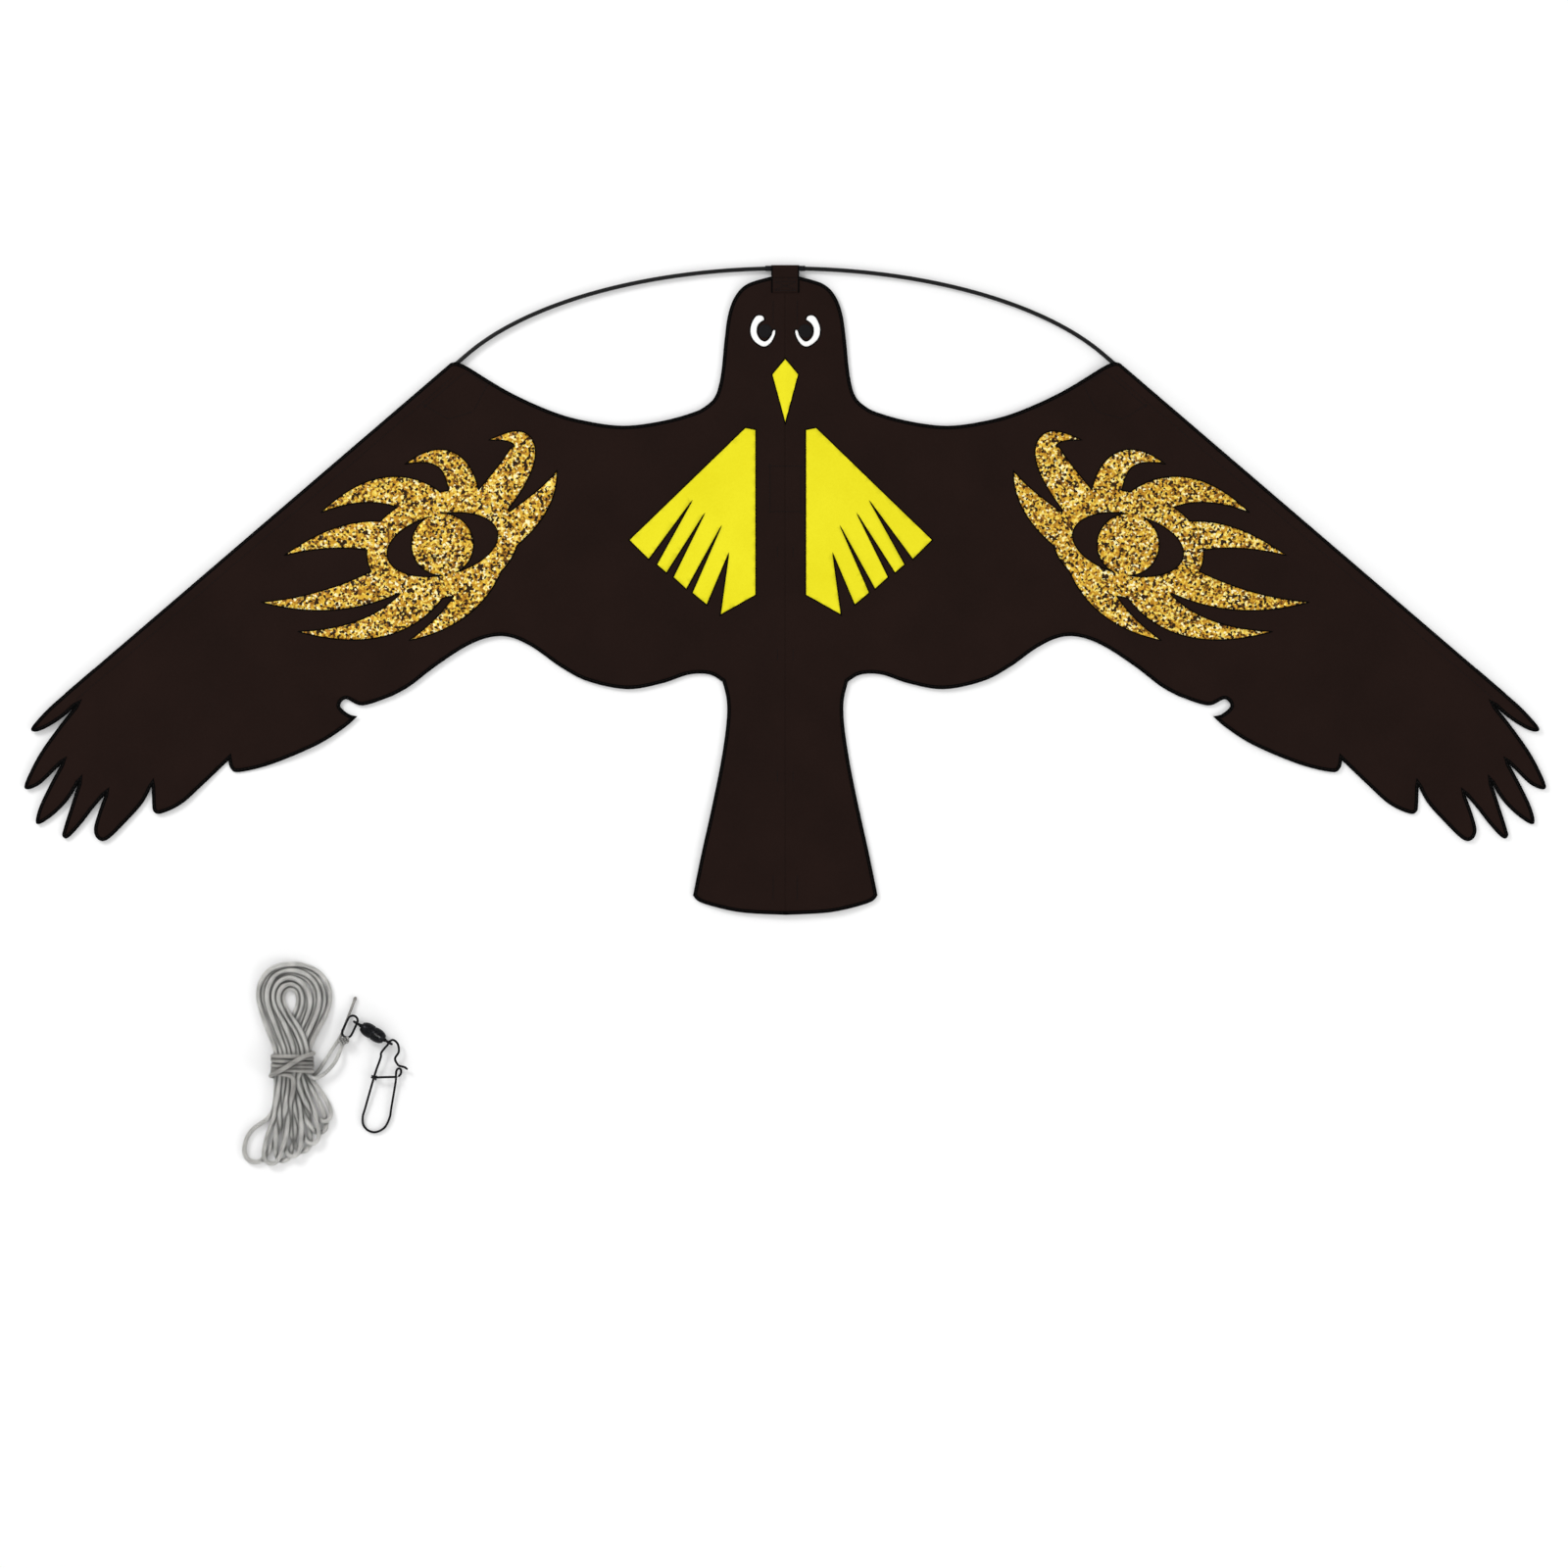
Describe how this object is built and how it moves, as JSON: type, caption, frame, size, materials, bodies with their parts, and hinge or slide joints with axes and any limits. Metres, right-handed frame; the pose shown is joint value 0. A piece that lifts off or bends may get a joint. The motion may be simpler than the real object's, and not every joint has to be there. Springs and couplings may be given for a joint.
{
  "type": "kite",
  "caption": "Bird-shaped bow kite with a black cloth sail, bent rod along the leading edge, spine rod, cut-out decoration and a tied hank of line with a swivel snap.",
  "frame": {"origin": "under the middle of the kite's bounding box, at the lowest point that it rests on", "axes": "+X along the wings to the right, +Y from the tail to the head, +Z out of the decorated side"},
  "size_m": [1.4506, 0.8607, 0.016],
  "materials": {
    "sail_cloth": "matt woven polyester",
    "trim": "matt webbing",
    "rod": "satin pultruded glass fibre",
    "cap_vinyl": "satin",
    "yellow_cloth": "smooth woven",
    "white_cloth": "smooth woven",
    "pupil_cloth": "smooth woven",
    "gold_glitter": "glitter film",
    "dark_metal": "black nickel",
    "line": "braided polyester"
  },
  "bodies": {
    "kite_body": {"sail_centre": "sail_cloth", "spine_rod": "rod", "spine_caps": "cap_vinyl", "spine_ties": "trim", "head_pocket": "trim", "tail_pocket": "trim", "head_tab": "sail_cloth", "bow_ferrule": "dark_metal", "bow_inner_ends": "rod", "tow_patch": "trim", "beak": "yellow_cloth", "eye_left": "white_cloth", "eye_right": "white_cloth", "pupil_left": "pupil_cloth", "pupil_right": "pupil_cloth"},
    "left_wing": {"sail_left": "sail_cloth", "sleeve_left": "sail_cloth", "bow_rod_left": "rod", "tip_cap_left": "cap_vinyl", "tip_pocket_left": "trim", "shoulder_patch_left": "trim", "chest_feathers_left": "yellow_cloth", "flame_eye_left": "gold_glitter"},
    "right_wing": {"sail_right": "sail_cloth", "sleeve_right": "sail_cloth", "bow_rod_right": "rod", "tip_cap_right": "cap_vinyl", "tip_pocket_right": "trim", "shoulder_patch_right": "trim", "chest_feathers_right": "yellow_cloth", "flame_eye_right": "gold_glitter"},
    "tow_loop": {"tow_tab": "trim", "tow_eyelet": "dark_metal"},
    "flying_line": {"line_hank": "line", "line_tie": "line", "line_lead": "line", "line_knot": "line", "link_ring": "dark_metal"},
    "line_eye": {"swivel_line_eye": "dark_metal"},
    "barrel": {"swivel_barrel": "dark_metal"},
    "snap_eye": {"swivel_snap_eye": "dark_metal"},
    "snap": {"snap_wire": "dark_metal"},
    "gate": {"snap_gate": "dark_metal"}
  },
  "joints": [
    {"name": "left_wing_flex", "type": "hinge", "parent": "kite_body", "child": "left_wing", "pos_m": [-0.02, 0, 0.00365], "axis": [0, 1, 0], "range_deg": [0, 25], "stiffness_Nm_per_rad": 2.5},
    {"name": "right_wing_flex", "type": "hinge", "parent": "kite_body", "child": "right_wing", "pos_m": [0.02, 0, 0.00365], "axis": [0, -1, 0], "range_deg": [0, 25], "stiffness_Nm_per_rad": 2.5},
    {"name": "tow_tab_fold", "type": "hinge", "parent": "kite_body", "child": "tow_loop", "pos_m": [0.0034, 0.096, 0.0051], "axis": [0, 1, 0], "range_deg": [0, 90]},
    {"name": "line_lift", "type": "slide", "parent": "kite_body", "child": "flying_line", "axis": [0, 0, 1], "range_m": [0, 0.15]},
    {"name": "line_eye_turn", "type": "hinge", "parent": "flying_line", "child": "line_eye", "pos_m": [-0.411, -0.4116, 0.0068], "axis": [0, 0, 1], "range_deg": [-4, 30]},
    {"name": "barrel_spin", "type": "hinge", "parent": "line_eye", "child": "barrel", "pos_m": [-0.393, -0.42241, 0.0068], "axis": [-0.8572, 0.515, 0], "continuous": true},
    {"name": "snap_eye_spin", "type": "hinge", "parent": "barrel", "child": "snap_eye", "pos_m": [-0.393, -0.42241, 0.0068], "axis": [-0.8572, 0.515, 0], "continuous": true},
    {"name": "snap_swing", "type": "hinge", "parent": "snap_eye", "child": "snap", "pos_m": [-0.375, -0.43323, 0.0068], "axis": [0, 0, 1], "range_deg": [-15, 60]},
    {"name": "gate_lift", "type": "hinge", "parent": "snap", "child": "gate", "pos_m": [-0.3921, -0.465, 0.0042], "axis": [-0.292, -0.9551, -0.0506], "range_deg": [0, 30], "stiffness_Nm_per_rad": 0.01}
  ]
}
